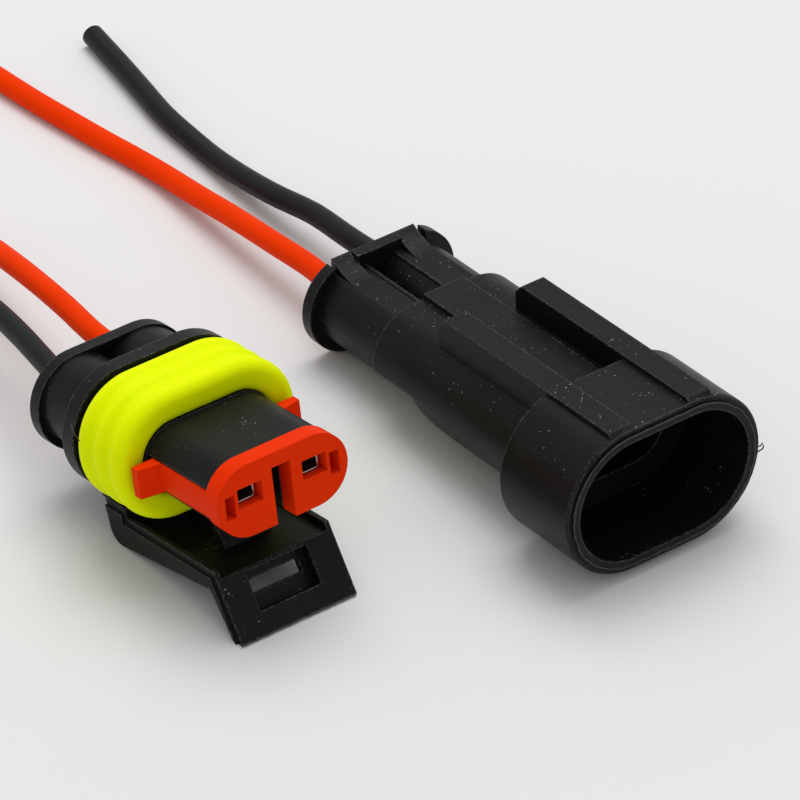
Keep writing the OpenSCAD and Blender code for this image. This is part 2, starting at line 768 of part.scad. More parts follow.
// A round lead swept along its route, with eight sides
module lead(route) {
    n = len(route);
    rings = [for (i = [0:n - 1]) each ring(route[i], ahead(route, i))];
    sides = [for (i = [0:n - 2], k = [0:7])
        [8 * i + k, 8 * i + (k + 1) % 8, 8 * (i + 1) + (k + 1) % 8, 8 * (i + 1) + k]];
    polyhedron(rings, concat([[for (k = [7:-1:0]) k]], sides, [[for (k = [0:7]) 8 * (n - 1) + k]]));
}

function plug_lead(x, route) = let(knee = (plug_box_rear + plug_len) / 2 + knee_back) concat(
    [for (y = [plug_box_rear + lead_start, knee, plug_len]) on_plug([x, y, 0])],
    [for (p = route) p - centre]);
function cap_lead(x, route) = concat(
    [for (y = [cap_box_rear + lead_start, (cap_box_rear + cap_len) / 2 + 1, cap_len]) on_cap([x, y, 0])],
    [for (p = route) p - centre]);

module plug_terminal_red() lay_plug() translate([half, 0, 0]) socket_contact();
module plug_terminal_black() lay_plug() translate([-half, 0, 0]) socket_contact();
module plug_wire_seal_red() lay_plug() wire_seal(half, plug_box_rear);
module plug_wire_seal_black() lay_plug() wire_seal(-half, plug_box_rear);
module plug_core_red() lay_plug() strands(half, plug_box_rear);
module plug_core_black() lay_plug() strands(-half, plug_box_rear);
module plug_lead_red() color("orangered") lead(plug_lead(half, plug_red_route));
module plug_lead_black() color("darkslategray") lead(plug_lead(-half, plug_black_route));
module cap_terminal_red() lay_cap() translate([-half, 0, 0]) mirror([0, 0, 1]) tab_contact();
module cap_terminal_black() lay_cap() translate([half, 0, 0]) mirror([0, 0, 1]) tab_contact();
module cap_wire_seal_red() lay_cap() wire_seal(-half, cap_box_rear);
module cap_wire_seal_black() lay_cap() wire_seal(half, cap_box_rear);
module cap_core_red() lay_cap() strands(-half, cap_box_rear);
module cap_core_black() lay_cap() strands(half, cap_box_rear);
module cap_lead_red() color("orangered") lead(cap_lead(-half, cap_red_route));
module cap_lead_black() color("darkslategray") lead(cap_lead(half, cap_black_route));

plug_housing();
plug_latch();
interface_seal();
plug_lock_plate();
plug_terminal_red();
plug_terminal_black();
plug_wire_seal_red();
plug_wire_seal_black();
plug_core_red();
plug_core_black();
plug_lead_red();
plug_lead_black();
cap_housing();
cap_lock_plate();
cap_terminal_red();
cap_terminal_black();
cap_wire_seal_red();
cap_wire_seal_black();
cap_core_red();
cap_core_black();
cap_lead_red();
cap_lead_black();
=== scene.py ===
"""Sealed automotive connector, uncoupled: the two halves as they lie on a table.

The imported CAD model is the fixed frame. This script gives each CAD piece its finish, replaces the
interface seal and the four leads with smooth pieces, and adds what moulding and cutting leave
behind: ragged flash, parting lines and the strands in the leads' far ends.
"""

from __future__ import annotations

import json
import logging
import math
from dataclasses import dataclass
from enum import Enum
from typing import Any, Iterable, Sequence

import bpy
from mathutils import Euler, Matrix, Vector

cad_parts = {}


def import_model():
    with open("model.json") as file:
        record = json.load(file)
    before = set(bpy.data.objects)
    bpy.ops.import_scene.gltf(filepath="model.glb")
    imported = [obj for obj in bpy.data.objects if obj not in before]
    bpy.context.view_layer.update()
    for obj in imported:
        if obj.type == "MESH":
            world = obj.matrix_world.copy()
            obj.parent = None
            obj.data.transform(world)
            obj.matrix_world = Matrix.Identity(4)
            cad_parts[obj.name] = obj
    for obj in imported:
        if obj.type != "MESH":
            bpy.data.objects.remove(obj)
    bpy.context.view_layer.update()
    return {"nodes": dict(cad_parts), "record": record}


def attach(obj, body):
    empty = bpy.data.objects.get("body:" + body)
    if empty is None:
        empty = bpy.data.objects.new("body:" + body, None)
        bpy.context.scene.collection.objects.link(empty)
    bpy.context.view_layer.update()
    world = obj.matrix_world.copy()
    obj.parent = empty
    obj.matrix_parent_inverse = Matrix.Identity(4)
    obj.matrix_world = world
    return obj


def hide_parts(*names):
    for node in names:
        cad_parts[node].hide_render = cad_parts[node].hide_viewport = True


LOG = logging.getLogger("connector")
MM = 0.001
Point = tuple[float, float, float]
NodeTree = bpy.types.NodeTree
Node = bpy.types.Node
Socket = bpy.types.NodeSocket
Object = bpy.types.Object
Material = bpy.types.Material


class Side(Enum):
    """The two halves of the connector."""

    PLUG = "plug"
    CAP = "cap"


class Wire(Enum):
    """The two leads of each half, by the colour of their insulation."""

    RED = "red"
    BLACK = "black"


# ---- Small helpers -------------------------------------------


def linear(code: str) -> tuple[float, float, float, float]:
    """Turns an sRGB hex colour into a linear colour.

    Args:
        code: Six hex digits after a hash sign.

    Returns:
        Red, green and blue in linear light, and an alpha of 1.
    """
    parts = [int(code[i : i + 2], 16) / 255 for i in (1, 3, 5)]
    lit = [c / 12.92 if c <= 0.04045 else ((c + 0.055) / 1.055) ** 2.4 for c in parts]
    return (lit[0], lit[1], lit[2], 1.0)


def per_mm(size: float) -> float:
    """Returns the texture scale whose features are about size millimetres wide."""
    return 1.0 / (size * MM)


def add_node(
    tree: NodeTree, kind: str, links: dict[str | int, Any] | None = None, **settings: Any
) -> Node:
    """Adds a node to a tree, sets it up and links its inputs.

    Args:
        tree: The node tree that the node is added to.
        kind: The node's Blender type name.
        links: Input name or index to an output socket, or to a plain value.
        settings: Properties of the node itself.

    Returns:
        The new node.
    """
    node = tree.nodes.new(kind)
    for name, value in settings.items():
        setattr(node, name, value)
    for name, value in (links or {}).items():
        socket = node.inputs[name]
        if isinstance(value, Socket):
            tree.links.new(value, socket)
        else:
            socket.default_value = value
    return node


def mesh_object(name: str, mesh: bpy.types.Mesh) -> Object:
    """Links a mesh into the scene.

    Args:
        name: The object's name.
        mesh: The mesh.

    Returns:
        The object, at the origin.
    """
    made = bpy.data.objects.new(name, mesh)
    bpy.context.scene.collection.objects.link(made)
    return made


def route_object(name: str, points: Sequence[Vector], closed: bool = False) -> Object:
    """Links a line through given points into the scene.

    Args:
        name: The object's name.
        points: The points, in metres.
        closed: Whether the line is a loop.

    Returns:
        The line, at the origin.
    """
    route = bpy.data.curves.new(name, "CURVE")
    route.dimensions = "3D"
    spline = route.splines.new("POLY")
    spline.points.add(len(points) - 1)
    for slot, point in zip(spline.points, points):
        slot.co = (*point, 1.0)
    spline.use_cyclic_u = closed
    made = bpy.data.objects.new(name, route)
    bpy.context.scene.collection.objects.link(made)
    return made


def baked(source: Object, name: str) -> Object:
    """Turns an object's evaluated geometry into a plain, smooth-shaded mesh object.

    Args:
        source: The object with its modifiers, which is removed afterwards.
        name: The name of the plain piece.

    Returns:
        The plain piece, at the origin.
    """
    bpy.context.view_layer.update()
    evaluated = source.evaluated_get(bpy.context.evaluated_depsgraph_get())
    mesh = bpy.data.meshes.new_from_object(evaluated)
    mesh.name = name
    made = mesh_object(name, mesh)
    for polygon in mesh.polygons:
        polygon.use_smooth = True
    data = source.data
    bpy.data.objects.remove(source)
    if isinstance(data, bpy.types.Mesh):
        bpy.data.meshes.remove(data)
    elif isinstance(data, bpy.types.Curve):
        bpy.data.curves.remove(data)
    return made


def finish_surface(piece: Object, material: Material) -> Object:
    """Puts one material on every face of a piece.

    Args:
        piece: The piece.
        material: The material, which replaces any other.

    Returns:
        The same piece.
    """
    piece.data.materials.clear()
    piece.data.materials.append(material)
    return piece


# ---- Geometry nodes ------------------------------------------


def open_group(name: str, inputs: dict[str, str]) -> tuple[NodeTree, Node]:
    """Starts a geometry nodes tree.

    Args:
        name: The tree's name.
        inputs: Input name to its kind, as in Float, Int or Vector.

    Returns:
        The tree, with one geometry output, and its input node. The last input is the material
        of everything that the tree makes.
    """
    tree = bpy.data.node_groups.new(name, "GeometryNodeTree")
    face = tree.interface
    for label, kind in {"Base": "Geometry", **inputs, "Finish": "Material"}.items():
        face.new_socket(label, in_out="INPUT", socket_type="NodeSocket" + kind)
    face.new_socket("Made", in_out="OUTPUT", socket_type="NodeSocketGeometry")
    return tree, add_node(tree, "NodeGroupInput")


def close_group(tree: NodeTree, given: Node, geometry: Socket) -> NodeTree:
    """Ends a geometry nodes tree: real geometry in the given material.

    Args:
        tree: The tree.
        given: Its input node.
        geometry: What the tree has made.

    Returns:
        The finished tree.
    """
    whole = add_node(tree, "GeometryNodeRealizeInstances", {"Geometry": geometry})
    dressed = add_node(
        tree,
        "GeometryNodeSetMaterial",
        {"Geometry": whole.outputs["Geometry"], "Material": given.outputs["Finish"]},
    )
    add_node(tree, "NodeGroupOutput", {"Made": dressed.outputs["Geometry"]})
    return tree


def swept(tree: NodeTree, given: Node, sides: Any) -> Socket:
    """Sweeps a round section along the tree's base line.

    Args:
        tree: The tree.
        given: Its input node, with the line and the section's radius.
        sides: The section's number of sides, or a socket that gives it.

    Returns:
        The closed tube.
    """
    section = add_node(
        tree,
        "GeometryNodeCurvePrimitiveCircle",
        {"Resolution": sides, "Radius": given.outputs["Radius"]},
    )
    return add_node(
        tree,
        "GeometryNodeCurveToMesh",
        {
            "Curve": given.outputs["Base"],
            "Profile Curve": section.outputs["Curve"],
            "Fill Caps": True,
        },
    ).outputs["Mesh"]


def grown(source: Object, tree: NodeTree, name: str, **values: Any) -> Object:
    """Runs a geometry nodes tree on an object and keeps the result as a plain piece.

    Args:
        source: The line or empty mesh that the tree works on, which is removed afterwards.
        tree: The tree.
        name: The name of the plain piece.
        values: Input name to its value. Finish is the material.

    Returns:
        The piece, at the origin, in its material.
    """
    modifier = source.modifiers.new("grow", "NODES")
    modifier.node_group = tree
    for item in tree.interface.items_tree:
        if item.in_out == "INPUT" and item.name in values:
            modifier[item.identifier] = values[item.name]
    return finish_surface(baked(source, name), values["Finish"])


# ---- Finishes ------------------------------------------------

# Specks of dust: their colour, their width, the width and pull of the crowds they gather in, the
# noise values between which a speck appears and the upward slopes between which it settles.
DUST_COLOUR = "#B9B8B4"
DUST_MM = 0.2
DUST_CROWD_MM = 3.0
DUST_CROWDING = 0.5
DUST_RARITY = (1.08, 1.16)
DUST_SLOPE = (0.1, 0.8)
# Pale outer edges, partly rubbed wear and partly a painted edge highlight: their colour, the radius
# over which an edge shows, how far it turns, the reach and share of open space that keep hollows
# clean, and the width and range of the grain.
WEAR_AND_HIGHLIGHT_COLOUR = "#8C8A84"
WEAR_AND_HIGHLIGHT_EDGE_MM = 0.3
WEAR_AND_HIGHLIGHT_EDGE = (0.995, 0.85)
WEAR_AND_HIGHLIGHT_OPEN_MM = 0.5
WEAR_AND_HIGHLIGHT_OPEN = (0.8, 0.97)
WEAR_AND_HIGHLIGHT_GRAIN_MM = 0.22
WEAR_AND_HIGHLIGHT_GRAIN = (0.42, 0.68)
# Height of the relief, reach of the roughness either way and its patches per colour patch.
RELIEF_MM = 0.02
ROUGHNESS_SPREAD = 0.06
ROUGHNESS_PATCHES = 3
# Rays per shading point for eased edges and for open space.
BEVEL_SAMPLES = 6
OPEN_SAMPLES = 8


def noise(tree: NodeTree, place: Socket, size: float, detail: float) -> Socket:
    """Adds a noise whose features are about size millimetres wide, and returns its value."""
    links = {"Vector": place, "Scale": per_mm(size), "Detail": detail}
    return add_node(tree, "ShaderNodeTexNoise", links).outputs["Fac"]


def ramp(
    tree: NodeTree,
    value: Socket,
    span: tuple[float, float] = (0.0, 1.0),
    to: tuple[float, float] = (0.0, 1.0),
) -> Socket:
    """Adds a clamped straight ramp.

    Args:
        tree: The material's node tree.
        value: What the ramp reads.
        span: The two values between which it rises.
        to: What it gives at each of them.

    Returns:
        The ramp's value.
    """
    links = {
        "Value": value, "From Min": span[0], "From Max": span[1], "To Min": to[0], "To Max": to[1]
    }
    return add_node(tree, "ShaderNodeMapRange", links).outputs["Result"]


def product(tree: NodeTree, a: Socket, b: Socket) -> Socket:
    """Adds the product of two values."""
    return add_node(tree, "ShaderNodeMath", {0: a, 1: b}, operation="MULTIPLY").outputs[0]


def mixed(tree: NodeTree, share: Socket, first: Any, second: Any) -> Socket:
    """Adds a mix of two colours.

    Args:
        tree: The material's node tree.
        share: Share of the second colour.
        first: A colour or a colour socket.
        second: Another.

    Returns:
        The mixed colour.
    """
    links = {"Factor": share, 6: first, 7: second}
    return add_node(tree, "ShaderNodeMix", links, data_type="RGBA").outputs[2]


def eased_normal(tree: NodeTree, radius: float) -> Socket:
    """Adds a normal that rounds sharp edges to a radius in millimetres."""
    links = {"Radius": radius * MM}
    return add_node(tree, "ShaderNodeBevel", links, samples=BEVEL_SAMPLES).outputs["Normal"]


@dataclass(frozen=True)
class Finish:
    """A finish of one solid material: a colour, its gloss and a fine surface relief.

    Attributes:
        name: The material's plain name.
        colour: Its sRGB colour.
        shade: A second sRGB colour that drifts through it in soft patches.
        roughness: Its mean roughness.
        ior: Its index of refraction.
        grain_mm: Width of the relief's grain, coarser than real where that is too fine to show.
        relief: Strength of the relief.
        patch_mm: Width of the soft patches.
        subsurface: Share of light that spreads below the surface.
        scatter_mm: Distance that such light travels.
        edge_mm: Radius to which sharp edges are eased.
        metallic: 1 on a metal.
        gloss: Level of the surface reflection, 0.5 for the full one.
        dust: Share of pale specks on the faces that look up.
        wear_and_highlight: Share of pale grain along the sharp outer edges, on a dusty finish,
        partly rubbed wear and partly a painted edge highlight.
    """

    name: str
    colour: str
    shade: str
    roughness: float
    ior: float = 1.5
    grain_mm: float = 0.12
    relief: float = 0.1
    patch_mm: float = 4.0
    subsurface: float = 0.0
    scatter_mm: float = 0.4
    edge_mm: float = 0.1
    metallic: float = 0.0
    gloss: float = 0.5
    dust: float = 0.0
    wear_and_highlight: float = 0.0

    def wear_and_highlight_socket(self, tree: NodeTree, place: Socket) -> Socket:
        """Builds the mask of pale grain on outer edges: rubbed wear and a painted edge highlight.

        Args:
            tree: The material's node tree.
            place: Object coordinates.

        Returns:
            A value socket, up to the share of wear and painted highlight on an edge.
        """
        true = add_node(tree, "ShaderNodeNewGeometry").outputs["True Normal"]
        along = add_node(
            tree,
            "ShaderNodeVectorMath",
            {0: true, 1: eased_normal(tree, WEAR_AND_HIGHLIGHT_EDGE_MM)},
            operation="DOT_PRODUCT",
        )
        edge = ramp(tree, along.outputs["Value"], WEAR_AND_HIGHLIGHT_EDGE)
        around = add_node(
            tree,
            "ShaderNodeAmbientOcclusion",
            {"Distance": WEAR_AND_HIGHLIGHT_OPEN_MM * MM},
            samples=OPEN_SAMPLES,
            only_local=True,
        )
        outer = product(tree, edge, ramp(tree, around.outputs["AO"], WEAR_AND_HIGHLIGHT_OPEN))
        grain = noise(tree, place, WEAR_AND_HIGHLIGHT_GRAIN_MM, detail=4.0)
        return product(tree, outer, ramp(tree, grain, WEAR_AND_HIGHLIGHT_GRAIN, (0.0, self.wear_and_highlight)))

    def dust_socket(self, tree: NodeTree, coords: Node) -> Socket:
        """Builds the mask of the pale specks that settle on faces looking up.

        Args:
            tree: The material's node tree.
            coords: The texture coordinate node.

        Returns:
            A value socket, up to the share of dust on a speck.
        """
        place = coords.outputs["Object"]
        denser = add_node(
            tree,
            "ShaderNodeMath",
            {
                0: noise(tree, place, DUST_CROWD_MM, detail=2.0),
                1: DUST_CROWDING,
                2: noise(tree, place, DUST_MM, detail=0.0),
            },
            operation="MULTIPLY_ADD",
        )
        facing = add_node(tree, "ShaderNodeSeparateXYZ", {0: coords.outputs["Normal"]})
        upward = ramp(tree, facing.outputs["Z"], DUST_SLOPE, (0.0, self.dust))
        return product(tree, ramp(tree, denser.outputs[0], DUST_RARITY), upward)

    def colour_socket(self, tree: NodeTree, coords: Node) -> Socket:
        """Builds the drifting colour, with its pale edges of wear and painted highlight, and its
        dust.

        Args:
            tree: The material's node tree.
            coords: The texture coordinate node.

        Returns:
            A colour socket.
        """
        place = coords.outputs["Object"]
        drift = noise(tree, place, self.patch_mm, detail=3.0)
        plain = mixed(tree, drift, linear(self.colour), linear(self.shade))
        if self.dust == 0.0:
            return plain
        # Pale outer edges: partly rubbed wear, partly a painted highlight where edges catch the
        # light.
        worn_and_highlit = mixed(tree, self.wear_and_highlight_socket(tree, place), plain, linear(WEAR_AND_HIGHLIGHT_COLOUR))
        return mixed(tree, self.dust_socket(tree, coords), worn_and_highlit, linear(DUST_COLOUR))

    def relief_socket(self, tree: NodeTree, place: Socket) -> Socket:
        """Builds the eased edges and the fine relief.

        Args:
            tree: The material's node tree.
            place: Object coordinates.

        Returns:
            A normal socket.
        """
        return add_node(
            tree,
            "ShaderNodeBump",
            {
                "Strength": self.relief,
                "Distance": RELIEF_MM * MM,
                "Height": noise(tree, place, self.grain_mm, detail=2.0),
                "Normal": eased_normal(tree, self.edge_mm),
            },
        ).outputs["Normal"]

    def roughness_socket(self, tree: NodeTree, place: Socket) -> Socket:
        """Builds a roughness that varies a little from place to place.

        Args:
            tree: The material's node tree.
            place: Object coordinates.

        Returns:
            A value socket.
        """
        spread = (self.roughness - ROUGHNESS_SPREAD, self.roughness + ROUGHNESS_SPREAD)
        drift = noise(tree, place, self.patch_mm / ROUGHNESS_PATCHES, detail=4.0)
        return ramp(tree, drift, to=spread)

    def build(self) -> Material:
        """Builds the material.

        Returns:
            The material, with its node tree.
        """
        material = bpy.data.materials.new(self.name)
        material.use_nodes = True
        tree = material.node_tree
        shader = tree.nodes["Principled BSDF"]
        coords = add_node(tree, "ShaderNodeTexCoord")
        place = coords.outputs["Object"]
        tree.links.new(self.colour_socket(tree, coords), shader.inputs["Base Color"])
        tree.links.new(self.roughness_socket(tree, place), shader.inputs["Roughness"])
        tree.links.new(self.relief_socket(tree, place), shader.inputs["Normal"])
        shader.inputs["IOR"].default_value = self.ior
        shader.inputs["Metallic"].default_value = self.metallic
        shader.inputs["Specular IOR Level"].default_value = self.gloss
        shader.inputs["Subsurface Weight"].default_value = self.subsurface
        shader.inputs["Subsurface Scale"].default_value = self.scatter_mm * MM
        return material


# Glass-filled nylon, injection moulded: near black, satin, with a fine spark-eroded grain, pale
# specks of dust and grey edges, partly rubbed and partly a painted edge highlight.
HOUSING_NYLON = Finish(
    "black_moulded_nylon", "#0A0A0B", "#161717", 0.4, ior=1.53, grain_mm=0.14, relief=0.5,
    patch_mm=3.5, edge_mm=0.14, gloss=0.13, dust=0.6, wear_and_highlight=0.4
)
# The same nylon where it crept between the mould's halves: thin, so it looks greyer.
FLASH_NYLON = Finish(
    "thin_nylon_flash", "#2E2D2B", "#4A4843", 0.5, ior=1.53, grain_mm=0.1, relief=0.3,
    patch_mm=0.6, edge_mm=0.02, gloss=0.3
)
# The same nylon from a smoother tool, for the plate in the socket.
PLATE_NYLON = Finish("black_plate_nylon", "#0E0E0F", "#121213", 0.45, ior=1.53, gloss=0.1)
# Unfilled polyester moulding: red-orange, smooth, light spreads a little in its thin edges.
RED_POLYESTER = Finish(
    "red_moulded_polyester", "#EC3602", "#E22C00", 0.36, ior=1.57, relief=0.08,
    subsurface=0.15, scatter_mm=0.4, edge_mm=0.14, gloss=0.02
)
# Liquid silicone rubber: yellow-green, waxy, with light under its skin.
SEAL_SILICONE = Finish(
    "yellow_green_silicone", "#EAFA00", "#E2F400", 0.5, ior=1.41, grain_mm=0.2, relief=0.15,
    subsurface=0.25, scatter_mm=0.8, edge_mm=0.05, gloss=0.05
)
# Extruded soft PVC: smooth along the wire, with a broad highlight.
RED_PVC = Finish(
    "red_pvc_insulation", "#F03C00", "#E83400", 0.38, ior=1.54, relief=0.1,
    subsurface=0.15, scatter_mm=0.4, gloss=0.02
)
# The same PVC in charcoal, a shade greyer than the housings.
BLACK_PVC = Finish(
    "black_pvc_insulation", "#131415", "#191A1A", 0.42, ior=1.54, relief=0.1, gloss=0.14
)
# Stamped bronze strip with bright tin plate: a soft mirror with a rolled grain.
TIN_PLATE = Finish(
    "tin_plated_bronze", "#E4E3DE", "#D6D5D0", 0.2, grain_mm=0.08, relief=0.1,
    edge_mm=0.14, metallic=1.0
)
# Drawn copper, bare and bright.
COPPER = Finish(
    "bare_copper_strands", "#D08A5E", "#C27B50", 0.3, grain_mm=0.1, relief=0.2,
    edge_mm=0.05, metallic=1.0
)


# ---- Studio --------------------------------------------------


@dataclass
class Studio:
    """The table, the light and the camera.

    Attributes:
        look_at: The point on the table that the camera looks at, in millimetres.
        heading: Direction of view, in degrees from +Y towards +X.
        elevation: Height of the camera above the table's plane, in degrees.
        roll: Small turn of the camera about its own axis, in degrees.
        distance: Distance from the camera to that point, in millimetres.
        lens: Focal length on a 36 mm sensor.
        clip: Nearest and furthest distance that the camera sees, in metres.
        floor_colour: sRGB colour of the table.
        floor_half: Half the table's width, in metres.
        floor_roughness: Roughness of the table.
        sky: Strength of the even light from all round.
        lamp_watts: Power of the large soft lamp overhead.
        lamp_at: Where the lamp hangs, in metres.
        lamp_size: Width and length of the lamp, in metres.
    """

    look_at: Point = (8.87, 9.7, 0.0)
    heading: float = 36.96
    elevation: float = 37.08
    roll: float = 0.33
    distance: float = 541.9
    lens: float = 306.0
    clip: tuple[float, float] = (0.01, 10.0)
    floor_colour: str = "#E2E2E2"
    floor_half: float = 1.5
    floor_roughness: float = 0.7
    sky: float = 0.62
    lamp_watts: float = 3.2
    lamp_at: Point = (0.17, 0.22, 0.7)
    lamp_size: tuple[float, float] = (0.6, 0.5)

    def set_camera(self) -> None:
        """Creates the camera at the chosen angle and makes it the scene's own."""
        data = bpy.data.cameras.new("studio_camera")
        data.lens = self.lens
        data.clip_start, data.clip_end = self.clip
        camera = bpy.data.objects.new("studio_camera", data)
        bpy.context.scene.collection.objects.link(camera)
        turn = (
            Euler((0.0, 0.0, -math.radians(self.heading))).to_matrix()
            @ Euler((math.radians(90 - self.elevation), 0.0, 0.0)).to_matrix()
            @ Euler((0.0, 0.0, math.radians(self.roll))).to_matrix()
        )
        back = turn @ Vector((0.0, 0.0, 1.0))
        place = (Vector(self.look_at) + back * self.distance) * MM
        camera.matrix_world = Matrix.Translation(place) @ turn.to_4x4()
        bpy.context.scene.camera = camera

    def lay_floor(self) -> None:
        """Lays the plain pale table top."""
        half = self.floor_half
        mesh = bpy.data.meshes.new("table_top")
        corners = [(-half, -half, 0), (half, -half, 0), (half, half, 0), (-half, half, 0)]
        mesh.from_pydata(corners, [], [(0, 1, 2, 3)])
        floor = mesh_object("table_top", mesh)
        # Matt laminate: a plain pale grey with no highlight of its own.
        material = bpy.data.materials.new("pale_table")
        material.use_nodes = True
        shader = material.node_tree.nodes["Principled BSDF"]
        shader.inputs["Base Color"].default_value = linear(self.floor_colour)
        shader.inputs["Roughness"].default_value = self.floor_roughness
        finish_surface(floor, material)
        LOG.info("%s: %.1f m wide", floor.name, 2 * half)

    def light(self) -> None:
        """Sets the even sky and one large soft lamp."""
        world = bpy.data.worlds.new("pale_room")
        world.use_nodes = True
        sky = world.node_tree.nodes["Background"]
        sky.inputs["Color"].default_value = (1.0, 1.0, 1.0, 1.0)
        sky.inputs["Strength"].default_value = self.sky
        bpy.context.scene.world = world
        lamp = bpy.data.lights.new("soft_box", "AREA")
        lamp.shape = "RECTANGLE"
        lamp.size, lamp.size_y = self.lamp_size
        lamp.energy = self.lamp_watts
        box = bpy.data.objects.new("soft_box", lamp)
        bpy.context.scene.collection.objects.link(box)
        box.location = self.lamp_at
        box.rotation_euler = (-box.location).to_track_quat("-Z", "Y").to_euler()
        bpy.context.scene.view_settings.view_transform = "Standard"

    def build(self) -> None:
        """Sets the camera, the table and the light."""
        self.set_camera()
        self.lay_floor()
        self.light()


# ---- Where the halves lie ------------------------------------

# The frame's origin, in millimetres from the foot of the cap's mouth.
CENTRE: Point = (-13.05, 18.63, 0.0)
# Half the distance between the two contacts of a half, in millimetres.
HALF_PITCH = 3.0


@dataclass(frozen=True)
class Placement:
    """Where a half lies: its own frame within the row's frame.

    Attributes:
        matrix: Turns millimetres in the half's frame into metres in the row's frame.
    """

    matrix: Matrix

    @classmethod
    def from_mount(cls, mounts: dict[str, Any], name: str, at: Point) -> "Placement":
        """Reads a half's placement from one of its mounts.

        Args:
            mounts: The record's mounts, by name.
            name: The mount whose axis points out of the mating face.
            at: Where that mount is in the half's own frame.

        Returns:
            The placement.
        """
        mount = mounts[name]
        rearward = -Vector(mount["axis"]).normalized()
        across = Vector((1.0, 0.0, 0.0))
        up = across.cross(rearward)
        turn = Matrix((across, rearward, up)).transposed()
        origin = Vector(mount["pos_m"]) - turn @ (Vector(at) * MM)
        return cls(Matrix.Translation(origin) @ turn.to_4x4() @ Matrix.Scale(MM, 4))

    def at(self, point: Point) -> Vector:
        """Returns a point of the half in millimetres of the row's frame."""
        return (self.matrix @ Vector(point)) / MM

    def line(self, points: Iterable[Sequence[float]]) -> list[Vector]:
        """Returns points of the half in metres of the row's frame."""
        return [self.matrix @ Vector(point) for point in points]


# ---- Leads ---------------------------------------------------

# Points that a smooth line is drawn with between two given ones.
SPAN_STEPS = 16


def smooth_route(points: Sequence[Point], count: int) -> list[Vector]:
    """Runs one smooth line through given points.

    Args:
        points: The points that the line passes.
        count: The number of points on the smooth line.

    Returns:
        Evenly spaced points along the line, in the same unit.
    """
    route = [Vector(p) for p in points]
    route = [2 * route[0] - route[1], *route, 2 * route[-1] - route[-2]]
    fine: list[Vector] = []
    for before, start, end, after in zip(route, route[1:], route[2:], route[3:]):
        for step in range(SPAN_STEPS):
            t = step / SPAN_STEPS
            fine.append(
                0.5
                * (
                    2 * start
                    + (end - before) * t
                    + (2 * before - 5 * start + 4 * end - after) * t**2
                    + (3 * start - before - 3 * end + after) * t**3
                )
            )
    fine.append(route[-2])
    reach = [0.0]
    for a, b in zip(fine, fine[1:]):
        reach.append(reach[-1] + (b - a).length)
    even: list[Vector] = []
    at = 0
    for i in range(count):
        want = reach[-1] * i / (count - 1)
        while at < len(reach) - 2 and reach[at + 1] < want:
            at += 1
        share = (want - reach[at]) / (reach[at + 1] - reach[at])
        even.append(fine[at].lerp(fine[at + 1], min(1.0, share)))
    return even


def lead_group() -> NodeTree:
    """Builds the geometry nodes that sweep a round lead along its route.

    Returns:
        The tree, with inputs for the lead's radius, its sides and its material.
    """
    tree, given = open_group("lead_sweep", {"Radius": "Float", "Sides": "Int"})
    return close_group(tree, given, swept(tree, given, given.outputs["Sides"]))


@dataclass(frozen=True)
class StrandBundle:
    """The cut strands in a lead's far end: six round a seventh.

    Attributes:
        around: Number of strands round the middle one.
        ring: Radius of their ring, in millimetres.
        foot: Radius of a strand, in millimetres.
        tip: Radius of its cut end.
        depth: Length of strand that is built.
        sides: Number of sides of a strand.
        spans: Number of spans along it.
    """

    around: int = 6
    ring: float = 0.4
    foot: float = 0.19
    tip: float = 0.15
    depth: float = 0.08
    sides: int = 16
    spans: int = 2

    def group(self) -> NodeTree:
        """Builds the geometry nodes that set the strands in place.

        Returns:
            The tree, with inputs for the bundle's centre, its turn and its material.
        """
        tree, given = open_group("strand_ends", {"Centre": "Vector", "Turn": "Vector"})
        ring = add_node(
            tree, "GeometryNodeMeshCircle", {"Vertices": self.around, "Radius": self.ring * MM}
        )
        middle = add_node(tree, "GeometryNodePoints", {"Count": 1})
        spots = add_node(tree, "GeometryNodeJoinGeometry")
        for source in (ring, middle):
            tree.links.new(source.outputs[0], spots.inputs[0])
        strand = add_node(
            tree,
            "GeometryNodeMeshCone",
            {
                "Vertices": self.sides,
                "Side Segments": self.spans,
                "Radius Top": self.tip * MM,
                "Radius Bottom": self.foot * MM,
                "Depth": self.depth * MM,
            },
        )
        bundle = add_node(
            tree,
            "GeometryNodeInstanceOnPoints",
            {"Points": spots.outputs[0], "Instance": strand.outputs["Mesh"]},
        )
        placed = add_node(
            tree,
            "GeometryNodeTransform",
            {
                "Geometry": bundle.outputs["Instances"],
                "Translation": given.outputs["Centre"],
                "Rotation": given.outputs["Turn"],
            },
        )
        return close_group(tree, given, placed.outputs["Geometry"])


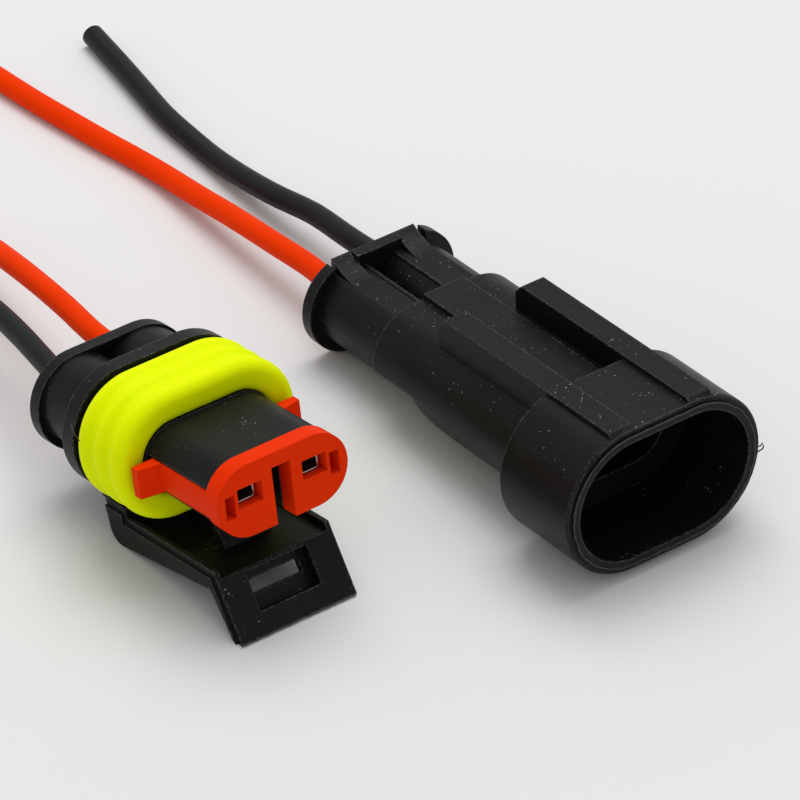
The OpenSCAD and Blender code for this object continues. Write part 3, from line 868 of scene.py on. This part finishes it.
@dataclass
class Lead:
    """One insulated lead, from its crimp to its cut end.

    Attributes:
        side: The half that it belongs to.
        wire: The colour of its insulation.
        outside: Points outside the housing, in millimetres from the foot of the cap's mouth.
        finish: The insulation's material.
        copper: The strands' material.
        diameter: Outer diameter of the insulation, in millimetres.
        samples: Number of points on its smooth line.
        sides: Number of sides of its round section.
    """

    side: Side
    wire: Wire
    outside: list[Point]
    finish: Material
    copper: Material
    diameter: float = 1.9
    samples: int = 40
    sides: int = 24

    def name(self) -> str:
        """Returns the CAD node that this lead stands for."""
        return f"{self.side.value}_lead_{self.wire.value}"

    def contact_x(self) -> float:
        """Returns the sideways place of this lead's contact, in millimetres."""
        to_the_right = (self.side is Side.PLUG) == (self.wire is Wire.RED)
        return HALF_PITCH if to_the_right else -HALF_PITCH

    def build(self, half: Placement, start: float, exit_y: float) -> None:
        """Args:
            half: Where its half lies.
            start: Distance from the mating face to the end of the insulation.
            exit_y: Distance from the mating face to the rear rim.
        """
        x = self.contact_x()
        inside = [half.at((x, y, 0.0)) for y in (start, (start + exit_y) / 2, exit_y)]
        outside = [Vector(p) - Vector(CENTRE) for p in self.outside]
        line = smooth_route([p * MM for p in (*inside, *outside)], self.samples)
        piece = grown(
            route_object(self.name() + "_route", line),
            lead_group(),
            "insulated_" + self.name(),
            Radius=self.diameter * MM / 2,
            Sides=self.sides,
            Finish=self.finish,
        )
        strands = self.strand_ends(line[-1], (line[-1] - line[-2]).normalized())
        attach(piece, "connector")
        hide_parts(self.name())

    def strand_ends(self, end: Vector, along: Vector) -> Object:
        """Builds the cut strands that show in the lead's far end.

        Args:
            end: The centre of the cut face.
            along: Direction of the lead there.

        Returns:
            The strands' piece.
        """
        piece = grown(
            mesh_object(self.name() + "_strands", bpy.data.meshes.new("strands")),
            StrandBundle().group(),
            self.name() + "_strand_ends",
            Centre=end,
            Turn=along.to_track_quat("Z", "Y").to_euler(),
            Finish=self.copper,
        )
        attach(piece, "connector")
        LOG.info("%s: %d faces", piece.name, len(piece.data.polygons))
        return piece


# ---- What moulding leaves behind -----------------------------

# Threads of flash: their sides, the width of their wander and its detail.
FLASH_SIDES = 6
FLASH_DRIFT_MM = 0.5
FLASH_DETAIL = 3.0
# Round the mouth: degrees between points on the round ends, and spans of a straight.
ARC_STEP = 3.0
STRAIGHT_STEPS = 24
# Parting lines: step along the half, distance from which a side is probed, and the thread.
SEAM_STEP = 0.25
SEAM_REACH = 15.0
SEAM_RADIUS = 0.03
SEAM_RAGGED = 0.04


def flash_group() -> NodeTree:
    """Builds the geometry nodes that grow a thin ragged thread along a line.

    Returns:
        The tree, with inputs for the thread's radius, its raggedness, a seed and its material.
    """
    inputs = {"Radius": "Float", "Ragged": "Float", "Seed": "Float"}
    tree, given = open_group("mould_flash", inputs)
    place = add_node(tree, "GeometryNodeInputPosition")
    drift = add_node(
        tree,
        "ShaderNodeTexNoise",
        {
            "Vector": place.outputs["Position"],
            "W": given.outputs["Seed"],
            "Scale": per_mm(FLASH_DRIFT_MM),
            "Detail": FLASH_DETAIL,
        },
        noise_dimensions="4D",
    )
    centred = add_node(
        tree,
        "ShaderNodeVectorMath",
        {0: drift.outputs["Color"], 1: (0.5, 0.5, 0.5)},
        operation="SUBTRACT",
    )
    moved = add_node(
        tree,
        "ShaderNodeVectorMath",
        {0: centred.outputs["Vector"], "Scale": given.outputs["Ragged"]},
        operation="SCALE",
    )
    ragged = add_node(
        tree,
        "GeometryNodeSetPosition",
        {"Geometry": swept(tree, given, FLASH_SIDES), "Offset": moved.outputs["Vector"]},
    )
    return close_group(tree, given, ragged.outputs["Geometry"])


def oval(radius: float, y: float, start: float, end: float) -> list[Point]:
    """Returns points along two round ends, centred on the contacts, and the straights between.

    Args:
        radius: Radius of the ends.
        y: Distance from the mating face.
        start: First angle, in degrees from the right.
        end: Last angle, in degrees from the right.

    Returns:
        The points, in millimetres of the half's frame.
    """
    count = int((end - start) / ARC_STEP)
    points: list[Point] = []
    for i in range(count + 1):
        turn = math.radians(start + (end - start) * i / count)
        shift = math.copysign(HALF_PITCH, math.cos(turn))
        x, z = shift + radius * math.cos(turn), radius * math.sin(turn)
        if points and abs(x - points[-1][0]) > HALF_PITCH:
            last = points[-1][0]
            for k in range(1, STRAIGHT_STEPS):
                points.append((last + (x - last) * k / STRAIGHT_STEPS, y, z))
        points.append((x, y, z))
    return points


@dataclass
class Flash:
    """A thin ragged thread of plastic along a line where two parts of the mould met.

    Attributes:
        name: The piece's name.
        body: The CAD body that carries it.
        points: Its line, in metres of the row's frame.
        radius: Radius of the thread, in millimetres.
        ragged: How far it strays, in millimetres.
        closed: Whether the line is a loop.
        seed: Seed of its raggedness.
    """

    name: str
    body: str
    points: list[Vector]
    radius: float = SEAM_RADIUS
    ragged: float = SEAM_RAGGED
    closed: bool = False
    seed: float = 0.0

    def build(self, finish: Material) -> None:
        """Builds the thread.

        Args:
            finish: The nylon.
        """
        piece = grown(
            route_object(self.name, self.points, self.closed),
            flash_group(),
            self.name,
            Radius=self.radius * MM,
            Ragged=self.ragged * MM,
            Seed=self.seed,
            Finish=finish,
        )
        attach(piece, self.body)
        LOG.info("%s: %d faces", piece.name, len(piece.data.polygons))


def seam_points(
    solid: Object, half: Placement, side: float, run: tuple[float, float]
) -> list[Vector]:
    """Finds the parting line along one side of a solid, level with the contacts.

    Args:
        solid: The CAD piece.
        half: Where its half lies.
        side: 1 for the right side, -1 for the left.
        run: First and last distance from the mating face.

    Returns:
        Points on the surface, in metres of the row's frame.
    """
    inward = (half.matrix.to_3x3() @ Vector((-side, 0.0, 0.0))).normalized()
    count = int((run[1] - run[0]) / SEAM_STEP)
    found: list[Vector] = []
    for i in range(count + 1):
        y = run[0] + (run[1] - run[0]) * i / count
        start = half.matrix @ Vector((side * SEAM_REACH, y, 0.0))
        hit, place, _, _ = solid.ray_cast(start, inward)
        if hit:
            found.append(place)
    return found


# ---- Interface seal ------------------------------------------


@dataclass
class InterfaceSeal:
    """The ribbed silicone seal round the plug's nose.

    Attributes:
        bore_r: Corner radius inside.
        rib_r: Corner radius over the ribs.
        front: Distance from the mating face to its front.
        rear: Distance from the mating face to its rear.
        ribs: Number of ribs.
        valley: Depth of the valleys between the ribs.
        valley_shape: 1 for evenly round valleys, more for narrow ones.
        front_ease: Steps of the inner front edge, outwards and backwards.
        nose_steps: Number of spans round the front rib's nose.
        rib_steps: Number of spans along the ribs.
        rear_ease: Chamfer of the rear edge.
        around: Number of sections round the nose.
    """

    bore_r: float = 3.0
    rib_r: float = 5.45
    front: float = 9.7
    rear: float = 16.0
    ribs: int = 3
    valley: float = 0.42
    valley_shape: float = 1.1
    front_ease: tuple[tuple[float, float], ...] = ((0.0, 0.35), (0.2, 0.1), (0.6, 0.0))
    nose_steps: int = 8
    rib_steps: int = 44
    rear_ease: float = 0.3
    around: int = 128

    def section(self) -> list[tuple[float, float]]:
        """Draws the seal's section.

        Returns:
            Its points, each a radius and a distance from the mating face.
        """
        length = self.rear - self.front
        step = length / self.ribs
        nose = step / 2
        points = [(self.bore_r + out, self.front + back) for out, back in self.front_ease]
        for i in range(self.nose_steps + 1):
            turn = math.radians(90 * i / self.nose_steps)
            points.append(
                (
                    self.rib_r - nose * (1 - math.sin(turn)),
                    self.front + nose * (1 - math.cos(turn)),
                )
            )
        for i in range(1, self.rib_steps + 1):
            back = (length - nose - self.rear_ease) * i / self.rib_steps
            dip = (1 - math.cos(2 * math.pi * back / step)) / 2
            radius = self.rib_r - self.valley * dip**self.valley_shape
            points.append((radius, self.front + nose + back))
        points.append((points[-1][0] - self.rear_ease, self.rear))
        points.append((self.bore_r, self.rear))
        return points

    def build(self, half: Placement, finish: Material) -> None:
        """Sweeps the section round the nose.

        Args:
            half: Where the plug lies.
            finish: The silicone.
        """
        section = self.section()
        verts: list[Vector] = []
        for k in range(self.around):
            turn = 2 * math.pi * (k + 0.5) / self.around
            cos, sin = math.cos(turn), math.sin(turn)
            shift = math.copysign(HALF_PITCH, cos)
            verts += half.line((shift + r * cos, y, r * sin) for r, y in section)
        n = len(section)
        faces: list[tuple[int, ...]] = []
        for k in range(self.around):
            here, ahead = k * n, (k + 1) % self.around * n
            for i in range(n):
                j = (i + 1) % n
                faces.append((here + i, here + j, ahead + j, ahead + i))
        mesh = bpy.data.meshes.new("ribbed_interface_seal")
        mesh.from_pydata(verts, [], faces)
        mesh.update()
        piece = mesh_object("ribbed_interface_seal", mesh)
        for polygon in mesh.polygons:
            polygon.use_smooth = True
        finish_surface(piece, finish)
        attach(piece, "connector")
        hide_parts("interface_seal")
        LOG.info("%s: %d faces", piece.name, len(mesh.polygons))


# ---- The two halves ------------------------------------------


@dataclass
class Half:
    """What both halves have: CAD pieces to finish, two contacts and two parting lines.

    Attributes:
        side: Which half it is.
        place: Where it lies.
        nodes: The frame's CAD pieces, by name.
        materials: The finished materials, by name.
    """

    side: Side
    place: Placement
    nodes: dict[str, Object]
    materials: dict[str, Material]

    def dress(self, node: str, finish: Finish) -> None:
        """Gives a CAD node its finish."""
        finish_surface(self.nodes[node], self.materials[finish.name])
        LOG.info("%s: %s", node, finish.name)

    def dress_contacts(self) -> None:
        """Finishes the contacts, wire seals and strands of both leads."""
        for wire in Wire:
            self.dress(f"{self.side.value}_terminal_{wire.value}", TIN_PLATE)
            self.dress(f"{self.side.value}_wire_seal_{wire.value}", SEAL_SILICONE)
            self.dress(f"{self.side.value}_core_{wire.value}", COPPER)

    def seams(self, run: tuple[float, float]) -> None:
        """Adds the parting lines along both sides of the housing.

        Args:
            run: First and last distance from the mating face.
        """
        housing = self.nodes[self.side.value + "_housing"]
        for side, name in ((-1.0, "left"), (1.0, "right")):
            points = seam_points(housing, self.place, side, run)
            Flash(f"{self.side.value}_seam_{name}", "connector", points, seed=side).build(
                self.materials[FLASH_NYLON.name]
            )


@dataclass
class PlugHalf(Half):
    """The half with the nose, the interface seal, the red lock plate and the latch.

    Attributes:
        bend: Distance from the mating face, and height, of the latch's bend.
        lean: Lean of the finger tab from upright, in degrees.
        tab_end: Distance along the tab from its bend to its lower edge.
        tab_half: Half the width of the tab's face.
        tab_nib: How far the flash runs past the tab's left corner.
        tab_gap: How far it stops short of the right one.
        seam_run: Where the parting lines start and end.
        flash_samples: Number of points on a thread of flash.
        flash_seed: Seed of their raggedness.
    """

    bend: tuple[float, float] = (2.75, -6.5)
    lean: float = 27.8
    tab_end: float = 6.03
    tab_half: float = 5.38
    tab_nib: float = 0.15
    tab_gap: float = 0.1
    seam_run: tuple[float, float] = (18.2, 22.6)
    flash_samples: int = 90
    flash_seed: float = 3.0

    def build(self) -> None:
        """Dresses the plug's pieces and builds its seal and its flash."""
        self.dress("plug_housing", HOUSING_NYLON)
        self.dress("plug_latch", HOUSING_NYLON)
        self.dress("plug_lock_plate", RED_POLYESTER)
        self.dress_contacts()
        InterfaceSeal().build(self.place, self.materials[SEAL_SILICONE.name])
        self.flash()
        self.seams(self.seam_run)

    def flash(self) -> None:
        """Adds the flash along the finger tab's lower edge and the curl on the flange."""
        lean, out = math.radians(self.lean), self.tab_half
        y = self.bend[0] - self.tab_end * math.sin(lean)
        z = self.bend[1] - self.tab_end * math.cos(lean)
        across = (-out - self.tab_nib, -out / 2, 0.0, out / 2, out - self.tab_gap)
        edge = [(x, y, z) for x in across]
        for name, body, line, radius, ragged in (
            ("latch_tab_flash", "latch", edge, 0.06, 0.16),
            ("flange_flash_curl", "connector", FLANGE_CURL, 0.04, 0.1),
        ):
            points = self.place.line(smooth_route(line, self.flash_samples))
            Flash(name, body, points, radius, ragged, seed=self.flash_seed).build(
                self.materials[FLASH_NYLON.name]
            )


@dataclass
class CapHalf(Half):
    """The half with the collar, the rails and the tab contacts.

    Attributes:
        rim_r: Corner radius of the flash round the mouth's rim.
        rim_y: Its distance from the mouth.
        rim_gap: Angle left open where its ends meet, in degrees.
        edge_r: Corner radius of the flash along the mouth's outer edge.
        edge_y: Its distance from the mouth.
        edge_arc: First and last angle of that flash, in degrees from the right.
        nib_samples: Number of points on the nib.
        twin_samples: Number of points on its twin.
        seam_run: Where the parting lines start and end.
        flash_seed: Seed of the flash's raggedness.
    """

    rim_r: float = 5.87
    rim_y: float = -0.02
    rim_gap: float = 1.5
    edge_r: float = 6.34
    edge_y: float = 0.2
    edge_arc: tuple[float, float] = (-50.0, 120.0)
    nib_samples: int = 16
    twin_samples: int = 12
    seam_run: tuple[float, float] = (0.6, 36.2)
    flash_seed: float = 7.0

    def build(self) -> None:
        """Dresses the cap's pieces and builds its flash."""
        self.dress("cap_housing", HOUSING_NYLON)
        self.dress("cap_lock_plate", PLATE_NYLON)
        self.dress_contacts()
        self.flash()
        self.seams(self.seam_run)

    def flash(self) -> None:
        """Adds the flash round the mouth and its two nibs."""
        rim = oval(self.rim_r, self.rim_y, self.rim_gap, 360.0 - self.rim_gap)
        outer = oval(self.edge_r, self.edge_y, *self.edge_arc)
        nib = smooth_route(MOUTH_NIB, self.nib_samples)
        twin = smooth_route(MOUTH_NIB_TWIN, self.twin_samples)
        for name, line, radius, ragged, closed in (
            ("mouth_flash", rim, 0.05, 0.32, True),
            ("mouth_edge_flash", outer, 0.035, 0.16, False),
            ("mouth_nib", nib, 0.06, 0.1, False),
            ("mouth_nib_twin", twin, 0.05, 0.1, False),
        ):
            points = self.place.line(line)
            Flash(name, "connector", points, radius, ragged, closed, self.flash_seed).build(
                self.materials[FLASH_NYLON.name]
            )


# Loose threads of flash, in millimetres of their half's frame.
FLANGE_CURL: list[Point] = [
    (-8.15, 16.2, 2.4), (-8.5, 15.6, 2.7), (-8.75, 15.0, 2.3), (-8.6, 14.5, 1.7),
]
MOUTH_NIB: list[Point] = [
    (9.3, 0.3, -1.1), (9.5, 0.2, -0.95), (9.72, 0.1, -0.8), (9.8, 0.1, -0.55),
]
MOUTH_NIB_TWIN: list[Point] = [(9.4, 0.3, -0.6), (9.6, 0.2, -0.55), (9.75, 0.1, -0.3)]

# The CAD leads' own routes, in millimetres from the foot of the cap's mouth.
LEAD_ROUTES: dict[tuple[Side, Wire], list[Point]] = {
    (Side.PLUG, Wire.RED): [
        (-24.1, 42, 7.2), (-23.6, 46.5, 6.8), (-23.1, 51, 6.2), (-22.6, 55.5, 5.4),
        (-22.1, 60, 4.4), (-21.8, 64.5, 3.2), (-21.6, 69, 2), (-21.6, 73.5, 1.2),
        (-21.7, 78, 0.95), (-22, 83.3, 0.95),
    ],
    (Side.PLUG, Wire.BLACK): [
        (-29.4, 41.3, 7.3), (-28.6, 45.9, 6.8), (-28, 50.4, 6.2), (-27.6, 55, 5.4),
        (-27.5, 59.6, 4.4), (-27.6, 64.2, 3.2), (-28, 68.8, 2), (-28.6, 73.3, 1.2),
        (-29.3, 77.8, 0.95), (-30.2, 83, 0.95),
    ],
    (Side.CAP, Wire.RED): [
        (-2.3, 42.3, 3.8), (-2.3, 48, 3.2), (-2.3, 53.9, 2.5), (-2.3, 58.5, 1.8),
        (-2.3, 63.1, 1.2), (-2.7, 67.2, 0.95), (-3.4, 70.9, 0.95), (-4.1, 75.2, 0.95),
        (-4.8, 79.8, 0.95), (-5.4, 85.3, 0.95),
    ],
    (Side.CAP, Wire.BLACK): [
        (2.7, 43.9, 3.7), (2.85, 49.4, 3.1), (2.5, 54.3, 2.3), (2.45, 58.7, 1.6),
        (2.6, 63.2, 1), (2.7, 67.2, 0.95), (2.9, 71, 0.95), (3.5, 74.8, 0.95),
        (4.2, 79.3, 0.95), (4.9, 84.4, 0.95),
    ],
}
# Distances from the mating face to the end of the insulation and to the rear rim.
LEAD_START: dict[Side, float] = {Side.PLUG: 14.15, Side.CAP: 27.55}
HALF_LENGTH: dict[Side, float] = {Side.PLUG: 24.1, Side.CAP: 37.5}
# The mount that places each half, and where it is in the half's own frame.
MOUNTS: dict[Side, tuple[str, Point]] = {
    Side.PLUG: ("plug_flange", (0.0, 16.3, 4.925)),
    Side.CAP: ("cap_mouth", (0.0, 0.0, 5.55)),
}


def main() -> None:
    """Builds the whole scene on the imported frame."""
    logging.basicConfig(level=logging.INFO, format="%(message)s")
    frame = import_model()
    Studio().build()
    finishes = (
        HOUSING_NYLON, FLASH_NYLON, PLATE_NYLON, RED_POLYESTER, SEAL_SILICONE, RED_PVC,
        BLACK_PVC, TIN_PLATE, COPPER,
    )
    materials = {finish.name: finish.build() for finish in finishes}
    mounts = {mount["name"]: mount for mount in frame["record"]["mounts"]}
    places = {
        side: Placement.from_mount(mounts, name, at) for side, (name, at) in MOUNTS.items()
    }
    insulation = {Wire.RED: materials[RED_PVC.name], Wire.BLACK: materials[BLACK_PVC.name]}
    for (side, wire), outside in LEAD_ROUTES.items():
        Lead(side, wire, outside, insulation[wire], materials[COPPER.name]).build(
            places[side], LEAD_START[side], HALF_LENGTH[side]
        )
    PlugHalf(Side.PLUG, places[Side.PLUG], frame["nodes"], materials).build()
    CapHalf(Side.CAP, places[Side.CAP], frame["nodes"], materials).build()


if __name__ == "__main__":
    main()
